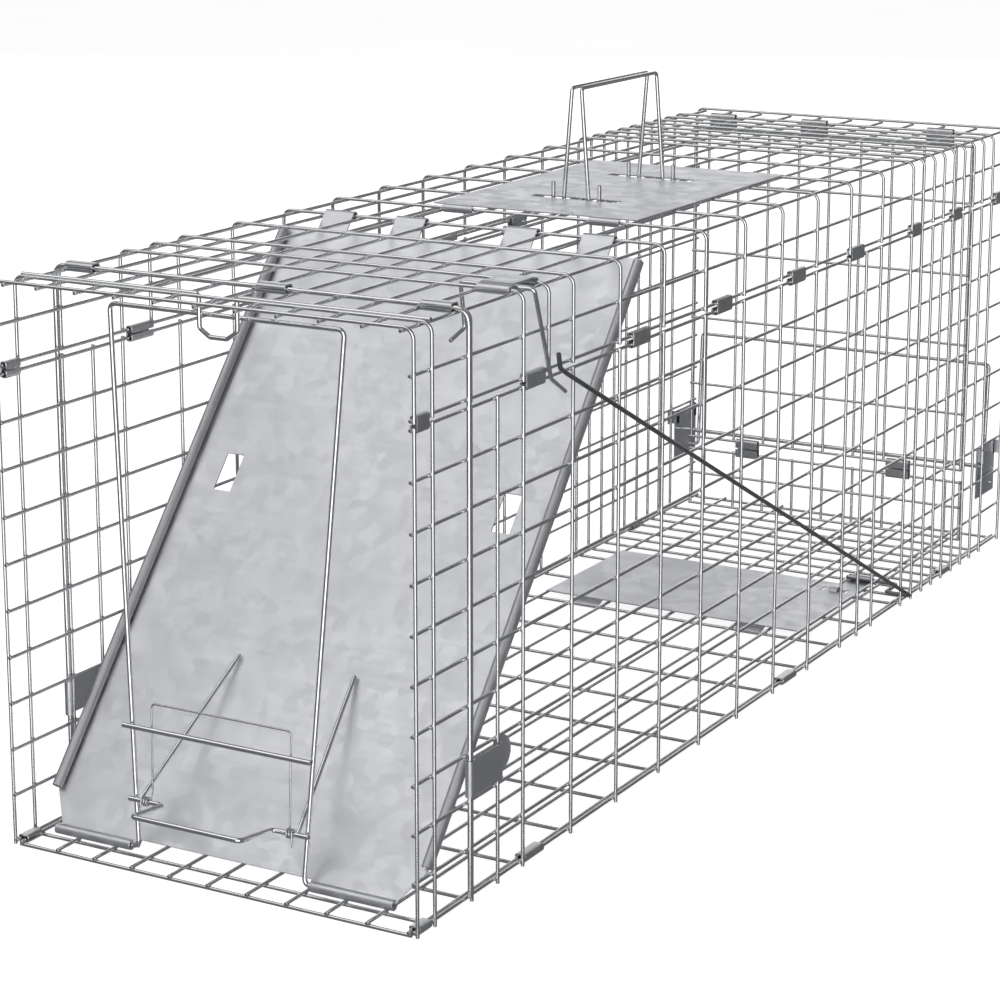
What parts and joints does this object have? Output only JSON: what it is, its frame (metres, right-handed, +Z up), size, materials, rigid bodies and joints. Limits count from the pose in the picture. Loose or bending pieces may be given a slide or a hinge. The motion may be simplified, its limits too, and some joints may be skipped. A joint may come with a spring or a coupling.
{
  "type": "live catch trap",
  "caption": "Folding welded-mesh live catch trap with a sloping sheet door, locking bail, trigger pan and rod, rear gate and wire carrying handles.",
  "frame": {"origin": "underside of the floor's cross wire in the middle of the trap", "axes": "+Z up, +Y from the door mouth to the rear, +X to the right seen from the front"},
  "size_m": [0.2497, 0.8158, 0.3599],
  "materials": {
    "mesh_wire": "bright galvanised wire, welded crossings",
    "bright_rod": "bright galvanised drawn wire",
    "dark_rod": "darker drawn wire",
    "sheet": "smooth galvanised sheet, soft sheen",
    "clip": "folded galvanised sheet",
    "spring_wire": "bright spring wire"
  },
  "bodies": {
    "cage": {"floor_panel": "mesh_wire", "left_side_panel": "mesh_wire", "right_side_panel": "mesh_wire", "upper_shell": "mesh_wire", "front_frame_rod": "bright_rod", "frame_sleeve_1": "clip", "frame_sleeve_2": "clip", "frame_sleeve_3": "clip", "left_rod_plate": "sheet", "right_rod_plate": "sheet", "hook_rod": "bright_rod", "lever_bracket": "sheet", "left_rear_bracket": "sheet", "right_rear_bracket": "sheet", "handle_guard": "sheet", "right_seam_clip_1": "clip", "left_seam_clip_1": "clip", "right_seam_clip_2": "clip", "left_seam_clip_2": "clip", "right_seam_clip_3": "clip", "left_seam_clip_3": "clip", "right_seam_clip_4": "clip", "left_seam_clip_4": "clip", "right_seam_clip_5": "clip", "left_seam_clip_5": "clip", "right_seam_clip_6": "clip", "left_seam_clip_6": "clip", "right_seam_clip_7": "clip", "left_seam_clip_7": "clip", "right_seam_clip_8": "clip", "left_seam_clip_8": "clip", "right_seam_clip_9": "clip", "left_seam_clip_9": "clip", "right_base_clip_1": "clip", "left_base_clip_1": "clip", "right_base_clip_2": "clip", "left_base_clip_2": "clip", "right_base_clip_3": "clip", "left_base_clip_3": "clip", "right_base_clip_4": "clip", "left_base_clip_4": "clip"},
    "door": {"door_plate": "sheet"},
    "bail": {"lock_bail": "bright_rod", "bail_crossbar": "bright_rod", "lock_spring": "spring_wire"},
    "lever": {"lock_lever": "bright_rod"},
    "prop": {"prop_lever": "bright_rod"},
    "pan": {"trigger_pan": "sheet"},
    "rod": {"trigger_rod": "dark_rod"},
    "gate": {"rear_gate": "mesh_wire", "gate_sleeve_1": "clip", "gate_sleeve_2": "clip", "gate_sleeve_3": "clip", "flap_sleeve_1": "clip", "flap_sleeve_2": "clip"},
    "flap": {"rear_flap": "mesh_wire"},
    "rear_bail": {"rear_bail": "bright_rod"},
    "lock_rod": {"rear_lock_rod": "bright_rod"},
    "left_handle": {"left_handle": "bright_rod"},
    "right_handle": {"right_handle": "bright_rod"}
  },
  "joints": [
    {"name": "door_swing", "type": "hinge", "parent": "cage", "child": "door", "pos_m": [0, -0.1524, 0.29305], "axis": [-1, 0, 0], "range_deg": [0, 12.8]},
    {"name": "bail_fold", "type": "hinge", "parent": "door", "child": "bail", "pos_m": [0, -0.3959, 0.009], "axis": [-1, 0, 0], "range_deg": [0, 33.92]},
    {"name": "lever_turn", "type": "hinge", "parent": "bail", "child": "lever", "pos_m": [0, -0.39749, 0.03461], "axis": [-1, 0, 0], "range_deg": [-42.24, 0]},
    {"name": "prop_turn", "type": "hinge", "parent": "cage", "child": "prop", "pos_m": [0, -0.2989, 0.2935], "axis": [1, 0, 0], "range_deg": [-25, 30]},
    {"name": "pan_tilt", "type": "hinge", "parent": "cage", "child": "pan", "pos_m": [0, 0.1016, 0.00095], "axis": [1, 0, 0], "range_deg": [0, 6]},
    {"name": "rod_swing", "type": "hinge", "parent": "pan", "child": "rod", "pos_m": [0, 0.2276, 0.0068], "axis": [-1, 0, 0], "range_deg": [0, 12]},
    {"name": "gate_swing", "type": "hinge", "parent": "cage", "child": "gate", "pos_m": [0, 0.3506, 0.29305], "axis": [-1, 0, 0], "range_deg": [0, 56]},
    {"name": "flap_swing", "type": "hinge", "parent": "gate", "child": "flap", "pos_m": [0, 0.3506, 0.048], "axis": [1, 0, 0], "range_deg": [0, 40]},
    {"name": "rear_bail_fold", "type": "hinge", "parent": "cage", "child": "rear_bail", "pos_m": [0, 0.3786, 0.044], "axis": [-1, 0, 0], "range_deg": [0, 100]},
    {"name": "lock_rod_slide", "type": "slide", "parent": "cage", "child": "lock_rod", "axis": [1, 0, 0], "range_m": [0, 0.2]},
    {"name": "left_handle_swing", "type": "hinge", "parent": "cage", "child": "left_handle", "pos_m": [0, 0, 0.29115], "axis": [0, -1, 0], "range_deg": [0, 70]},
    {"name": "right_handle_swing", "type": "hinge", "parent": "cage", "child": "right_handle", "pos_m": [0.0233, 0, 0.29115], "axis": [0, 1, 0], "range_deg": [0, 70]}
  ],
  "couplings": [
    {"joint": "bail_fold", "follows": "door_swing", "ratio": 2.65},
    {"joint": "lever_turn", "follows": "door_swing", "ratio": -3.3}
  ]
}
